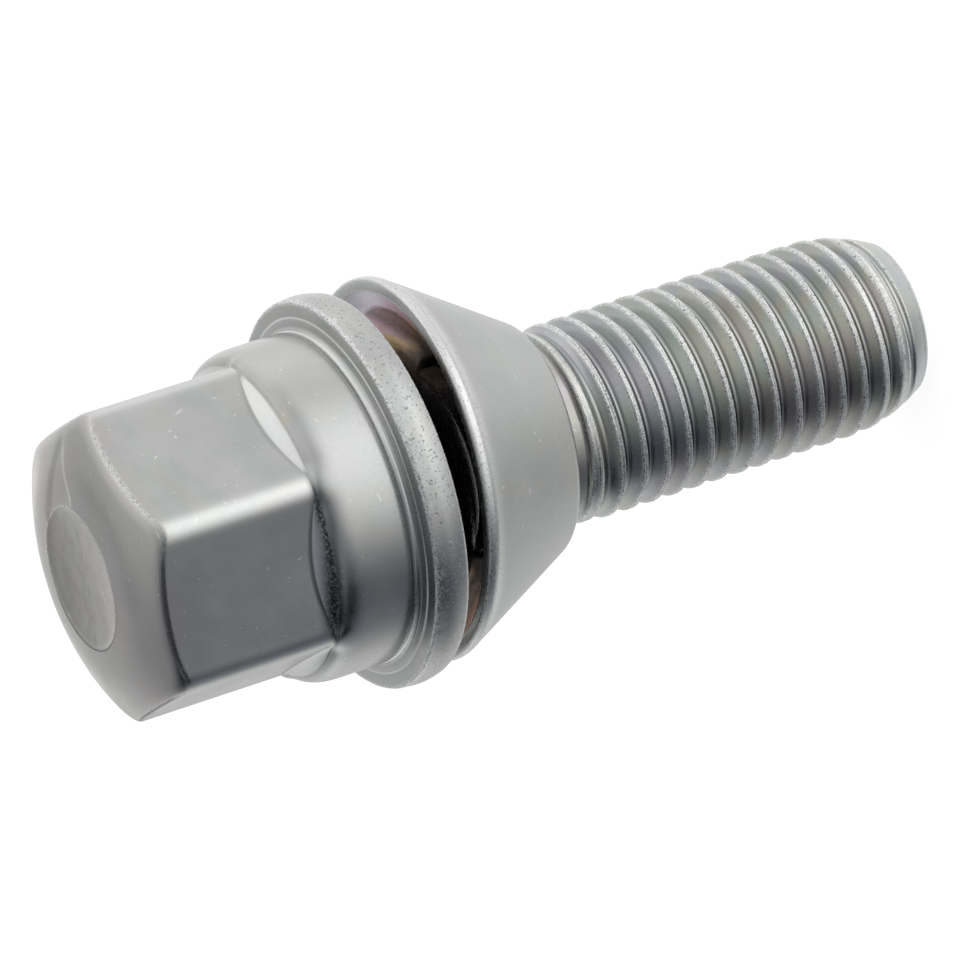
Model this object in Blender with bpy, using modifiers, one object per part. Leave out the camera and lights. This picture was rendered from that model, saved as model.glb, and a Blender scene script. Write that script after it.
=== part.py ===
# Wheel bolt with a loose cone seat. The bolt is one forged piece: a hexagon head with a domed
# crown, a collar, a flange, a ball-shaped seat under it, a plain shank and a rolled thread.
# The cone washer is trapped on the shank between the seat and the thread, and hangs tilted.
# The bolt stands on the end of its thread. +Z runs up to the head, and the origin is the
# centre of the end face. All lengths are in metres.

import math

import bmesh
import bpy
from mathutils import Matrix, Vector

MM = 0.001

# Rolled thread, M12 x 1.5, right-handed. The drops are taken off the thread's outer radius.
THREAD_MAJOR = 12.0 * MM
THREAD_PITCH = 1.5 * MM
THREAD_DEPTH = 0.83 * MM
THREAD_ROOT_FLAT = 0.3 * MM
THREAD_FLANK_ANGLE = math.radians(30.0)
THREAD_START_ANGLE = math.radians(60.0)
THREAD_LENGTH = 21.95 * MM
RUNOUT_LENGTH = 1.85 * MM
RUNOUT_BAND = 1.1 * MM
RUNOUT_BAND_DROP = 0.15 * MM
END_DROP = 1.4 * MM
END_CHAMFER_LENGTH = 4.6 * MM
END_CHAMFER_BULGE = 13.0 * MM
END_ROUNDING = 0.2 * MM

# Plain shank and its fillet up to the ball-shaped seat
SHANK_DROP = 0.5 * MM
SHANK_FILLET = 0.8 * MM

# Hexagon head
ACROSS_FLATS = 17.0 * MM
HEX_CORNER_RADIUS = 1.05 * MM
HEAD_HEIGHT = 16.8 * MM
CROWN_RADIUS = 18.5 * MM
DISH_RADIUS = 4.2 * MM
DISH_DEPTH = 0.3 * MM
DISH_LIP = 0.8 * MM

# Collar, flange and the seat under it, each set out from the one before
COLLAR_OVERHANG = 0.18 * MM
COLLAR_HEIGHT = 5.0 * MM
COLLAR_SHOULDER = 0.4 * MM
COLLAR_SHOULDER_HEIGHT = 2.0 * MM
GROOVE_WIDTH = 0.24 * MM
GROOVE_DEPTH = 0.15 * MM
GROOVE_LIFT = 0.28 * MM
FLANGE_OVERHANG = 1.8 * MM
FLANGE_THICKNESS = 2.3 * MM
FLANGE_TAPER = 0.15 * MM
FLANGE_EDGE = 0.3 * MM
SEAT_LAND = 1.9 * MM
SEAT_MOUTH_ANGLE = math.radians(55.6)

# Loose cone washer. Its length follows from its rim, its nose wall and the angle of the cone.
WASHER_RIM_STEP = 0.35 * MM
WASHER_RIM_WIDTH = 0.9 * MM
WASHER_EDGE = 0.2 * MM
WASHER_CONE_ANGLE = math.radians(30.0)
WASHER_NOSE_WALL = 1.36 * MM
WASHER_NOSE_RADIUS = 0.4 * MM
WASHER_MOUTH_CHAMFER = 0.3 * MM
WASHER_BORE_CLEARANCE = 0.35 * MM
WASHER_SEAT_CLEARANCE = 0.1 * MM
WASHER_FLOAT = 1.9 * MM
WASHER_THREAD_GAP = 1.08 * MM
WASHER_TILT = math.radians(3.75)
WASHER_TILT_DIRECTION = math.radians(-95.8)
WASHER_SIDE_PLAY = 0.1 * MM

# Facets of the round forms, and how far the cutting tools stand out of the work
STEPS = 48
CUT_MARGIN = 2.0 * MM

# Radii that follow from the sizes above
major_radius = THREAD_MAJOR / 2
shank_radius = major_radius - SHANK_DROP
band_radius = major_radius - RUNOUT_BAND_DROP
end_radius = major_radius - END_DROP
fillet_radius = shank_radius + SHANK_FILLET
flat_distance = ACROSS_FLATS / 2
corner_radius = flat_distance / math.cos(math.pi / 6)
collar_radius = corner_radius + COLLAR_OVERHANG
blank_radius = (corner_radius + collar_radius) / 2
shoulder_radius = collar_radius - COLLAR_SHOULDER
ridge_radius = DISH_RADIUS + DISH_LIP
flange_radius = collar_radius + FLANGE_OVERHANG
mouth_radius = flange_radius - SEAT_LAND
seat_radius = mouth_radius / math.sin(SEAT_MOUTH_ANGLE)
rim_radius = flange_radius - WASHER_RIM_STEP
cone_radius = rim_radius - WASHER_EDGE
bore_radius = shank_radius + WASHER_BORE_CLEARANCE
nose_radius = bore_radius + WASHER_NOSE_WALL
recess_radius = seat_radius + WASHER_SEAT_CLEARANCE

# Heights, from the end of the thread up to the crown
cone_length = (cone_radius - nose_radius) / math.tan(WASHER_CONE_ANGLE)
washer_length = WASHER_RIM_WIDTH + cone_length + WASHER_NOSE_RADIUS
seat_drop = math.sqrt(seat_radius ** 2 - mouth_radius ** 2)
fillet_drop = math.sqrt(seat_radius ** 2 - fillet_radius ** 2)
z_runout_top = THREAD_LENGTH + RUNOUT_LENGTH
z_nose = z_runout_top + WASHER_THREAD_GAP
z_washer_rear = z_nose + washer_length
z_flange_rear = z_washer_rear + WASHER_FLOAT
z_seat_centre = z_flange_rear + seat_drop
z_shank_top = z_seat_centre - fillet_drop - SHANK_FILLET
z_flange_front = z_flange_rear + FLANGE_THICKNESS
z_shoulder = z_flange_front + COLLAR_HEIGHT
z_crown = z_flange_front + HEAD_HEIGHT
z_crown_centre = z_crown - math.sqrt(CROWN_RADIUS ** 2 - ridge_radius ** 2)


def clear_scene():
    for old in list(bpy.data.objects):
        bpy.data.objects.remove(old, do_unlink=True)


def make_collection(name):
    group = bpy.data.collections.new(name)
    bpy.context.scene.collection.children.link(group)
    return group


def make_material(name, colour, roughness, metallic):
    material = bpy.data.materials.new(name)
    material.use_nodes = True
    shader = material.node_tree.nodes["Principled BSDF"]
    shader.inputs["Base Color"].default_value = (*colour, 1.0)
    shader.inputs["Roughness"].default_value = roughness
    shader.inputs["Metallic"].default_value = metallic
    material.diffuse_color = (*colour, 1.0)
    return material


def arc(start, end, radius, count):
    # Points from start to end on an arc that bulges to the left of that direction
    chord = Vector(end) - Vector(start)
    middle = (Vector(start) + Vector(end)) / 2
    across = Vector((chord.y, -chord.x)).normalized()
    centre = middle + across * math.sqrt(radius ** 2 - (chord.length / 2) ** 2)
    first = Vector(start) - centre
    last = Vector(end) - centre
    sweep = last.angle_signed(first)
    points = []
    for i in range(count + 1):
        angle = sweep * i / count
        turned = Vector((
            first.x * math.cos(angle) - first.y * math.sin(angle),
            first.x * math.sin(angle) + first.y * math.cos(angle),
        ))
        points.append(tuple(centre + turned))
    return points


def profile_object(name, points, closed, group):
    # A line of (radius, height) points at +X, down the outer side
    mesh = bpy.data.meshes.new(name)
    outline = bmesh.new()
    corners = [outline.verts.new((radius, 0.0, height)) for radius, height in points]
    for first, second in zip(corners, corners[1:]):
        outline.edges.new((first, second))
    if closed:
        outline.edges.new((corners[-1], corners[0]))
    outline.to_mesh(mesh)
    outline.free()
    part = bpy.data.objects.new(name, mesh)
    group.objects.link(part)
    return part


def turn(part):
    screw = part.modifiers.new("Turning", "SCREW")
    screw.axis = "Z"
    screw.angle = 2 * math.pi
    screw.steps = STEPS
    screw.render_steps = STEPS
    screw.use_merge_vertices = True
    screw.merge_threshold = 0.000005
    screw.use_smooth_shade = True


def mark_cutter(tool):
    tool.hide_render = True
    tool.display_type = "WIRE"


def cut(part, tool, name):
    boolean = part.modifiers.new(name, "BOOLEAN")
    boolean.operation = "DIFFERENCE"
    boolean.solver = "EXACT"
    boolean.object = tool


def crown_points():
    points = []
    rings = 3
    for i in range(rings + 1):
        radius = DISH_RADIUS * i / rings
        rise = (radius / ridge_radius) ** 2
        points.append((radius, z_crown - DISH_DEPTH * (1 - rise)))
    for i in range(1, 8):
        radius = ridge_radius + (blank_radius - ridge_radius) * (i - 1) / 6
        height = z_crown_centre + math.sqrt(CROWN_RADIUS ** 2 - radius ** 2)
        points.append((radius, height))
    return points


def head_points():
    # The forging under the flats, the collar's shoulder, the fine groove and the flange
    shoulder_end = z_shoulder - COLLAR_SHOULDER_HEIGHT
    z_groove = z_flange_front + GROOVE_LIFT
    rim_front = flange_radius - FLANGE_TAPER
    points = [(blank_radius, z_shoulder + blank_radius - shoulder_radius)]
    points += arc(
        (shoulder_radius, z_shoulder),
        (collar_radius, shoulder_end),
        3 * COLLAR_SHOULDER_HEIGHT,
        3,
    )
    points += [
        (collar_radius, z_groove + GROOVE_WIDTH),
        (collar_radius - GROOVE_DEPTH, z_groove + GROOVE_WIDTH / 2),
        (collar_radius, z_groove),
        (collar_radius, z_flange_front),
        (rim_front - FLANGE_EDGE, z_flange_front),
        (rim_front, z_flange_front - FLANGE_EDGE),
    ]
    points += arc(
        (rim_front, z_flange_front - FLANGE_EDGE),
        (flange_radius - FLANGE_EDGE, z_flange_rear),
        FLANGE_THICKNESS,
        4,
    )[1:]
    return points


def seat_points():
    points = []
    start = SEAT_MOUTH_ANGLE
    end = math.asin(fillet_radius / seat_radius)
    count = 4
    for i in range(count + 1):
        angle = start + (end - start) * i / count
        radius = seat_radius * math.sin(angle)
        points.append((radius, z_seat_centre - seat_radius * math.cos(angle)))
    points.append((shank_radius + 0.2 * SHANK_FILLET, z_shank_top + 0.4 * SHANK_FILLET))
    points.append((shank_radius, z_shank_top))
    return points


def thread_blank_points():
    points = [
        (shank_radius, z_runout_top),
        (band_radius, z_runout_top - 0.2 * RUNOUT_BAND),
        (band_radius, z_runout_top - RUNOUT_BAND),
        (major_radius, THREAD_LENGTH),
    ]
    points += arc(
        (major_radius, END_CHAMFER_LENGTH),
        (end_radius, END_ROUNDING),
        END_CHAMFER_BULGE,
        5,
    )
    points += [(end_radius - END_ROUNDING, 0.0), (0.0, 0.0)]
    return points


def make_hex_prism(group):
    # A six-sided bar with rounded corners, two of them on the Y axis
    mesh = bpy.data.meshes.new("hex_prism")
    bar = bmesh.new()
    low = z_shoulder - CUT_MARGIN - blank_radius
    high = z_crown + 2 * CUT_MARGIN
    bmesh.ops.create_cone(
        bar,
        cap_ends=True,
        segments=6,
        radius1=corner_radius,
        radius2=corner_radius,
        depth=high - low,
        matrix=Matrix.Translation((0.0, 0.0, (high + low) / 2)),
    )
    corners = [edge for edge in bar.edges if abs(edge.verts[0].co.z - edge.verts[1].co.z) > MM]
    bmesh.ops.bevel(
        bar,
        geom=corners,
        offset=HEX_CORNER_RADIUS * math.tan(math.pi / 6),
        offset_type="OFFSET",
        segments=4,
        profile=0.5,
        affect="EDGES",
        material=-1,
    )
    bar.to_mesh(mesh)
    bar.free()
    prism = bpy.data.objects.new("hex_prism", mesh)
    group.objects.link(prism)
    mark_cutter(prism)
    return prism


def make_flats_cutter(group):
    # A ring round the head, with the six-sided bar taken out of it. Its lower face is a cone,
    # which leaves the lens-shaped step where each flat runs into the collar.
    inner = flat_distance - CUT_MARGIN
    outer = blank_radius + CUT_MARGIN
    high = z_crown + CUT_MARGIN
    points = [
        (outer, high),
        (outer, z_shoulder + shoulder_radius - outer),
        (inner, z_shoulder + shoulder_radius - inner),
        (inner, high),
    ]
    tool = profile_object("flats_cutter", points, True, group)
    turn(tool)
    cut(tool, make_hex_prism(group), "Six-sided bar")
    mark_cutter(tool)
    return tool


def make_thread_cutter(group):
    # The groove between two crests, wound along the thread. It rises out of the metal at the
    # shank, and runs out of the chamfer at the end.
    root = major_radius - THREAD_DEPTH
    wall = major_radius + 0.2 * THREAD_DEPTH
    outside = major_radius + 0.6 * THREAD_DEPTH
    root_half = THREAD_ROOT_FLAT / 2
    wall_half = root_half + (wall - root) * math.tan(THREAD_FLANK_ANGLE)
    start = -0.55 * THREAD_PITCH
    end = THREAD_LENGTH + 0.2 * THREAD_PITCH
    count = round((end - start) / THREAD_PITCH * STEPS)
    section = [
        (root, root_half),
        (wall, wall_half),
        (outside, wall_half),
        (outside, -wall_half),
        (wall, -wall_half),
        (root, -root_half),
    ]
    mesh = bpy.data.meshes.new("thread_cutter")
    groove = bmesh.new()
    corners = [groove.verts.new((radius, 0.0, start + height)) for radius, height in section]
    for i, corner in enumerate(corners):
        groove.edges.new((corner, corners[(i + 1) % len(corners)]))
    bmesh.ops.rotate(
        groove,
        verts=groove.verts[:],
        cent=(0.0, 0.0, 0.0),
        matrix=Matrix.Rotation(THREAD_START_ANGLE, 3, "Z"),
    )
    bmesh.ops.spin(
        groove,
        geom=groove.verts[:] + groove.edges[:],
        cent=(0.0, 0.0, 0.0),
        axis=(0.0, 0.0, 1.0),
        dvec=(0.0, 0.0, THREAD_PITCH / STEPS),
        angle=2 * math.pi * count / STEPS,
        steps=count,
        use_merge=False,
        use_duplicate=False,
    )
    open_ends = [edge for edge in groove.edges if edge.is_boundary]
    bmesh.ops.holes_fill(groove, edges=open_ends, sides=0)
    fade_start = THREAD_LENGTH - 0.8 * THREAD_PITCH
    for corner in groove.verts:
        rise = (corner.co.z - fade_start) / THREAD_PITCH
        if rise > 0.0:
            radius = corner.co.to_2d().length
            corner.co.x *= 1 + THREAD_DEPTH * rise / radius
            corner.co.y *= 1 + THREAD_DEPTH * rise / radius
    bmesh.ops.recalc_face_normals(groove, faces=groove.faces[:])
    groove.to_mesh(mesh)
    groove.free()
    tool = bpy.data.objects.new("thread_cutter", mesh)
    group.objects.link(tool)
    mark_cutter(tool)
    return tool


def make_bolt(group, tools):
    points = crown_points() + head_points() + seat_points() + thread_blank_points()
    bolt = profile_object("bolt", points, False, group)
    turn(bolt)
    cut(bolt, make_flats_cutter(tools), "Flats")
    cut(bolt, make_thread_cutter(tools), "Thread")
    bolt.data.materials.append(make_material("zinc_plate", (0.62, 0.63, 0.63), 0.32, 1.0))
    return bolt


def make_cone_washer(group):
    # Modelled upright round the middle of its bore, then hung at its tilt on the shank
    z_cone = z_washer_rear - WASHER_RIM_WIDTH
    z_recess_centre = z_seat_centre - WASHER_FLOAT
    z_bore_top = z_recess_centre - math.sqrt(recess_radius ** 2 - bore_radius ** 2)
    recess_depth = z_recess_centre - z_washer_rear
    pivot = (z_bore_top + z_nose) / 2
    points = [
        (cone_radius, z_washer_rear),
        (rim_radius, z_washer_rear - WASHER_EDGE),
        (rim_radius, z_cone + WASHER_EDGE),
        (cone_radius, z_cone),
    ]
    points += arc(
        (nose_radius, z_nose + WASHER_NOSE_RADIUS),
        (nose_radius - WASHER_NOSE_RADIUS, z_nose),
        WASHER_NOSE_RADIUS,
        3,
    )
    points += [
        (bore_radius + WASHER_MOUTH_CHAMFER, z_nose),
        (bore_radius, z_nose + WASHER_MOUTH_CHAMFER),
        (bore_radius, z_bore_top),
    ]
    count = 6
    start = math.asin(bore_radius / recess_radius)
    end = math.acos(recess_depth / recess_radius)
    for i in range(1, count + 1):
        angle = start + (end - start) * i / count
        height = z_recess_centre - recess_radius * math.cos(angle)
        points.append((recess_radius * math.sin(angle), height))
    outline = [(radius, height - pivot) for radius, height in points]
    washer = profile_object("cone_washer", outline, True, group)
    turn(washer)
    washer.data.materials.append(make_material("zinc_washer", (0.66, 0.67, 0.66), 0.34, 1.0))
    lean = Vector((math.cos(WASHER_TILT_DIRECTION), math.sin(WASHER_TILT_DIRECTION), 0.0))
    aside = Vector((lean.y, -lean.x, 0.0)) * WASHER_SIDE_PLAY
    washer.location = aside + Vector((0.0, 0.0, pivot))
    washer.rotation_euler = Matrix.Rotation(-WASHER_TILT, 4, lean).to_euler()
    return washer


clear_scene()
parts = make_collection("wheel_bolt")
cutters = make_collection("cutters")
make_bolt(parts, cutters)
make_cone_washer(parts)
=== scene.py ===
# Wheel bolt with a loose cone washer: the looks
import math

import bmesh
import bpy
from mathutils import Matrix, Vector, noise


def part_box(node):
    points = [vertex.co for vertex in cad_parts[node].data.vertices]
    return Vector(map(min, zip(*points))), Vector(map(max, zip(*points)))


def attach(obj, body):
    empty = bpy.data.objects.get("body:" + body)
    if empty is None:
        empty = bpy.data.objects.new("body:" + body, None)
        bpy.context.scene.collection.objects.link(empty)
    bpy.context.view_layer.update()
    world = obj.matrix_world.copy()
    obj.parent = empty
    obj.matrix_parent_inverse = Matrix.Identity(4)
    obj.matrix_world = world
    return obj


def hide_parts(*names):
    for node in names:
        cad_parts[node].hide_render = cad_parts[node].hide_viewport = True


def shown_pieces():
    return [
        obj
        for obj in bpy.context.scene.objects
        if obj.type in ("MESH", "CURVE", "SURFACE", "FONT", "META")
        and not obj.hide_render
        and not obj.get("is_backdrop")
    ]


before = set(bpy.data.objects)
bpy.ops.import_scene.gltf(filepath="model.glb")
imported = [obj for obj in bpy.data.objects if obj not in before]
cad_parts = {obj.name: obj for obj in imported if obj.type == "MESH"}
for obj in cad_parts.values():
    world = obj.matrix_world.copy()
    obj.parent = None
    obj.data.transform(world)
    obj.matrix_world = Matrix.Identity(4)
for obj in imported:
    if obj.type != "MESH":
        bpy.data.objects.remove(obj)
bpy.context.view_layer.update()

mm = 0.001
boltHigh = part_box("bolt")[1]
print("frame loaded")


# shared helpers

def smoothStep(low, high, value):
    share = min(1.0, max(0.0, (value - low) / (high - low)))
    return share * share * (3 - 2 * share)


def softMin(a, b, radius):
    # the smaller of two, with the meeting rounded over radius
    gap = max(0.0, radius - abs(a - b)) / radius
    return min(a, b) - gap * gap * radius / 4


def polar(spot):
    return math.hypot(spot.x, spot.y), math.atan2(spot.y, spot.x)


def place(vert, radius, angle, height):
    vert.co = (radius * math.cos(angle), radius * math.sin(angle), height)


def newLine(form, points):
    # a line of (radius, height) points at +X, ready to be turned
    verts = [form.verts.new((radius, 0, height)) for radius, height in points]
    for first, second in zip(verts, verts[1:]):
        form.edges.new((first, second))
    return verts


def curvePoints(start, knee, end, count):
    # a smooth bend from start to end that aims at knee
    points = []
    for i in range(count + 1):
        t = i / count
        points.append(tuple(
            (1 - t) ** 2 * a + 2 * t * (1 - t) * b + t * t * c
            for a, b, c in zip(start, knee, end)
        ))
    return points


def bendFrom(radius, height, offsets, count):
    # a smooth bend through three offsets in mm, each outwards from radius and up from height
    return curvePoints(*[(radius + out * mm, height + up * mm) for out, up in offsets], count)


def bendAt(vert):
    # how sharply the surface bends here, outwards and inwards, per metre
    outward, inward = 0.0, 0.0
    for edge in vert.link_edges:
        step = edge.other_vert(vert).co - vert.co
        bend = -2 * vert.normal.dot(step) / step.length_squared
        outward, inward = max(outward, bend), min(inward, bend)
    return outward, -inward


def markBends(form):
    # edge and hollow, from 0 to 1, steer the wear, and the grime and painted shade
    edgeMark = form.verts.layers.float.new("edge")
    hollowMark = form.verts.layers.float.new("hollow")
    sheltered = form.verts.layers.float.get("sheltered")
    for vert in form.verts:
        outward, inward = bendAt(vert)
        bare = 1 - 0.85 * vert[sheltered] if sheltered else 1
        vert[edgeMark] = bare * smoothStep(900, 3600, outward)
        vert[hollowMark] = bare * smoothStep(900, 5000, inward)


def finishPiece(form, name, material, body, node):
    bmesh.ops.recalc_face_normals(form, faces=form.faces[:])
    form.normal_update()
    markBends(form)
    mesh = bpy.data.meshes.new(name)
    form.to_mesh(mesh)
    form.free()
    mesh.shade_smooth()
    mesh.materials.append(material)
    piece = bpy.data.objects.new(name, mesh)
    bpy.context.scene.collection.objects.link(piece)
    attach(piece, body)
    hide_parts(node)


# the bolt's head, flange and shank

head = {
    "steps": 216,
    "cornerCrowding": 0.6,       # share by which the steps crowd at the hexagon's corners
    "acrossFlats": 17.0 * mm,
    "cornerRadius": 1.6 * mm,
    "height": 16.8 * mm,         # crown above the flange's front face
    "domeRadius": 19.5 * mm,
    "domeRise": 0.55 * mm,       # the full dome's top above the crown
    "domeShift": 0.25 * mm,      # the dome leans a little to one side
    "domeTowards": math.radians(-70),
    "crownSink": 0.2 * mm,       # the middle is pressed flat below the full dome
    "pressedSlope": 0.1,         # that middle falls a little outwards, metre per metre
    "pressedBlend": 0.2 * mm,
    "dishRadius": 4.3 * mm,
    "dishWobble": 0.02,
    "dishDepth": 0.34 * mm,
    "dishWall": 0.05 * mm,
    "wallShares": (0.90, 0.995),  # the wall stands between these shares of the dish's radius
    "tailDepth": 0.09 * mm,      # the dish runs out in a tail towards one corner
    "tailSide": (-2.55 * mm, -2.2 * mm),
    "tailStart": (3.6 * mm, 4.4 * mm),
    "tailLean": (0.72, 0.69),
    "tailEnd": (4.25 * mm, 3.9 * mm),
    "edgeFall": 0.1 * mm,        # the crown rolls over beside its edge
    "edgeReach": 0.7 * mm,
    "crownEdge": 0.19 * mm,
    "cornerWear": 0.15 * mm,     # the corners' tips are worn lower
    "cornerWearFrom": 8.832 * mm,
    "cornerWearReach": 0.768 * mm,
    # radii in mm of the crown's inner rings, close together at the dish's rim
    "innerRings": (0, 0.4, 0.8, 1.3, 1.8, 2.3, 2.8, 3.3, 3.7, 3.95, 4.05, 4.12, 4.18, 4.24, 4.3, 4.38, 4.5),
    "outerRings": 16,
    "outerFrom": 0.48,           # share of the reach where the rings start to turn hexagonal
    "sideRings": 22,
    "sideCrowding": 0.35,        # share by which these rings crowd at both ends of a flat
    "scoopRings": 8,
    "shoulderRings": 10,
    "shoulderHeight": 5.0 * mm,  # shoulder above the flange's front face
    "shoulderDrop": 1.5 * mm,
    "shoulderBend": 0.45,        # how steeply the shoulder starts down from the scoops
    "shoulderCrowding": 1.3,
    "scoopHalf": math.radians(25.5),
    "scoopRadius": 9.35 * mm,    # of the scoop's outer border
    "scoopFoot": 0.15 * mm,      # that border's height above the shoulder
    "scoopRise": 0.72 * mm,
    "scoopLip": 0.17 * mm,
    "scoopHollow": (0.734, 1.12),  # how fast it starts outwards and down; 1 would be straight
    "collarRadius": 9.99 * mm,
    # groove, bead and flange face, in mm outwards from the collar and up from the flange's front
    "collarFoot": [
        (0, 2.2), (0, 1.5), (0, 0.9), (0, 0.6), (-0.02, 0.52), (-0.12, 0.46), (-0.12, 0.40),
        (0.0, 0.35), (0.05, 0.26), (0.05, 0.18), (0.08, 0.10), (0.16, 0.03), (0.3, 0.0),
        (0.62, 0.0), (0.69, -0.01), (0.74, -0.06), (0.82, -0.07), (1.2, -0.08), (1.38, -0.09),
    ],
    # the flange's rounded border, in mm from its rim and its front or rear face
    "frontBend": [(-0.26, -0.09), (-0.09, -0.1), (-0.06, -0.34)],
    "rimBend": [(-0.03, -0.8), (0.06, -1.3), (-0.14, -2.0)],
    "rearBend": [(-0.17, 0.2), (-0.22, 0), (-0.42, 0)],
    "flangeRadius": 11.77 * mm,
    "flangeThickness": 2.3 * mm,
    "mouthRadius": 9.9 * mm,
    "seatRadius": 12.0 * mm,
    "shankRadius": 5.5 * mm,
    "filletReach": 0.8 * mm,
}

zCrown = boltHigh.z
zFlange = zCrown - head["height"]
zShoulder = zFlange + head["shoulderHeight"]
zFlangeRear = zFlange - head["flangeThickness"]
flatDistance = head["acrossFlats"] / 2


def hexTurn(angle):
    # the turn from the middle of the nearest flat; the corners lie on the Y axis
    sector = math.pi / 3
    return (angle + sector / 2) % sector - sector / 2


def hexRadius(angle):
    # how far the hexagon with its rounded corners reaches in this direction
    turn = hexTurn(angle)
    corner = math.pi / 6 - abs(turn)
    centre = (flatDistance - head["cornerRadius"]) / math.cos(math.pi / 6)
    tangent = Vector((centre, 0)) + head["cornerRadius"] * Vector((math.sqrt(3) / 2, 0.5))
    if corner > math.atan2(tangent.y, tangent.x):
        return flatDistance / math.cos(turn)
    side = centre * math.sin(corner)
    return centre * math.cos(corner) + math.sqrt(head["cornerRadius"] ** 2 - side ** 2)


cornerReach = hexRadius(math.pi / 2)


def dishTail(radius, angle):
    x, y = radius * math.cos(angle), radius * math.sin(angle)
    along = head["tailLean"][0] * x + head["tailLean"][1] * y
    tail = smoothStep(*head["tailSide"], y) * smoothStep(*head["tailStart"], x)
    return head["tailDepth"] * tail * smoothStep(*head["tailEnd"], along)


def crownHeight(radius, angle):
    # a dome, pressed flat in the middle, with the forged dish in it
    across = radius * math.cos(angle - head["domeTowards"])
    squared = radius ** 2 - 2 * across * head["domeShift"] + head["domeShift"] ** 2
    centre = zCrown + head["domeRise"] - head["domeRadius"]
    dome = centre + math.sqrt(head["domeRadius"] ** 2 - squared)
    wobble = 1 + head["dishWobble"] * noise.noise((math.cos(angle), math.sin(angle), 0.3))
    share = radius / head["dishRadius"] * wobble
    pressed = zCrown - head["crownSink"]
    if share > 1:
        pressed -= head["pressedSlope"] * (radius - head["dishRadius"])
    else:
        pressed -= head["dishDepth"] * (1 - share ** 2)
        pressed -= head["dishWall"] * (1 - smoothStep(*head["wallShares"], share))
    inward = max(0.0, 1 - (hexRadius(angle) - radius) / head["edgeReach"])
    tip = max(0.0, radius - head["cornerWearFrom"]) / head["cornerWearReach"]
    worn = head["edgeFall"] * inward ** 2 + head["cornerWear"] * tip ** 2
    return softMin(dome, pressed, head["pressedBlend"]) - worn - dishTail(radius, angle)


def crownShares():
    # where the crown's rings lie, as shares of its reach
    start, count = head["outerFrom"], head["outerRings"]
    inner = [radius * mm / cornerReach for radius in head["innerRings"]]
    return inner + [start + (1 - start) * i / count for i in range(1, count + 1)]


def crownSpot(share, angle):
    reach = cornerReach + (hexRadius(angle) - cornerReach) * smoothStep(head["outerFrom"], 1.0, share)
    return share * reach, crownHeight(share * reach, angle)


def scoopEnd(angle):
    # the scoop's outer border runs nearly level round the head
    outer = -softMin(-head["scoopRadius"], -hexRadius(angle) - 0.1 * mm, 0.15 * mm)
    return outer, zShoulder + head["scoopFoot"]


def flatFoot(angle):
    width = max(0.0, 1 - (hexTurn(angle) / head["scoopHalf"]) ** 2)
    return zShoulder + head["scoopFoot"] + head["scoopLip"] + head["scoopRise"] * width


def sideSpot(share, angle):
    reach = hexRadius(angle)
    top = crownHeight(reach, angle)
    return reach, top + (flatFoot(angle) - top) * share


def scoopSpot(share, angle):
    # hollow like a tool's nose: steep at the flat, shallower at its outer border
    reach, foot = hexRadius(angle), flatFoot(angle)
    outer, low = scoopEnd(angle)
    outward, down = [fast * share * (1 - share) + share ** 2 for fast in head["scoopHollow"]]
    return reach + (outer - reach) * outward, foot + (low - foot) * down


def shoulderSpot(share, angle):
    outer, low = scoopEnd(angle)
    collar, drop = head["collarRadius"], head["shoulderDrop"]
    share = share ** head["shoulderCrowding"]
    bend = ((1 - share) ** 2, 2 * share * (1 - share), share ** 2)
    radii = (outer, collar, collar)
    heights = (low, low - head["shoulderBend"] * (collar - outer), zShoulder - drop)
    return (
        sum(a * b for a, b in zip(bend, radii)),
        sum(a * b for a, b in zip(bend, heights)),
    )


def turnedPoints():
    # the round part below the shoulder, as (radius, height)
    collar, rim, seat = head["collarRadius"], head["flangeRadius"], head["seatRadius"]
    fillet = head["shankRadius"] + head["filletReach"]
    zSeat = zFlangeRear + math.sqrt(seat ** 2 - head["mouthRadius"] ** 2)
    zShank = zSeat - math.sqrt(seat ** 2 - fillet ** 2) - head["filletReach"]
    points = [(collar + out * mm, zFlange + up * mm) for out, up in head["collarFoot"]]
    points += bendFrom(rim, zFlange, head["frontBend"], 5)
    points += bendFrom(rim, zFlange, head["rimBend"], 5)
    points += bendFrom(rim, zFlangeRear, head["rearBend"], 4)
    points.append((head["mouthRadius"] + 0.3 * mm, zFlangeRear))
    start = math.asin(head["mouthRadius"] / seat)
    end = math.asin(fillet / seat)
    for i in range(15):
        angle = start + (end - start) * i / 14
        points.append((seat * math.sin(angle), zSeat - seat * math.cos(angle)))
    points += curvePoints(
        (fillet - 0.06 * mm, zShank + head["filletReach"] - 0.05 * mm),
        (head["shankRadius"], zShank + 0.5 * head["filletReach"]),
        (head["shankRadius"], zShank),
        4,
    )
    lowest = zBand + 0.12 * mm
    points += [(head["shankRadius"], zShank + (lowest - zShank) * i / 5) for i in range(1, 6)]
    return points


def headSpots():
    # one function of the angle for each ring, from the crown's middle to the thread
    spots = [lambda angle, share=share: crownSpot(share, angle) for share in crownShares()]
    for form, count in (
        (sideSpot, head["sideRings"]),
        (scoopSpot, head["scoopRings"]),
        (shoulderSpot, head["shoulderRings"]),
    ):
        for i in range(1, count + 1):
            share = i / count
            if form is sideSpot:
                share -= head["sideCrowding"] * math.sin(2 * math.pi * share) / (2 * math.pi)
            spots.append(lambda angle, form=form, share=share: form(share, angle))
    for point in turnedPoints():
        spots.append(lambda angle, point=point: point)
    return spots


# the rolled thread

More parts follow.
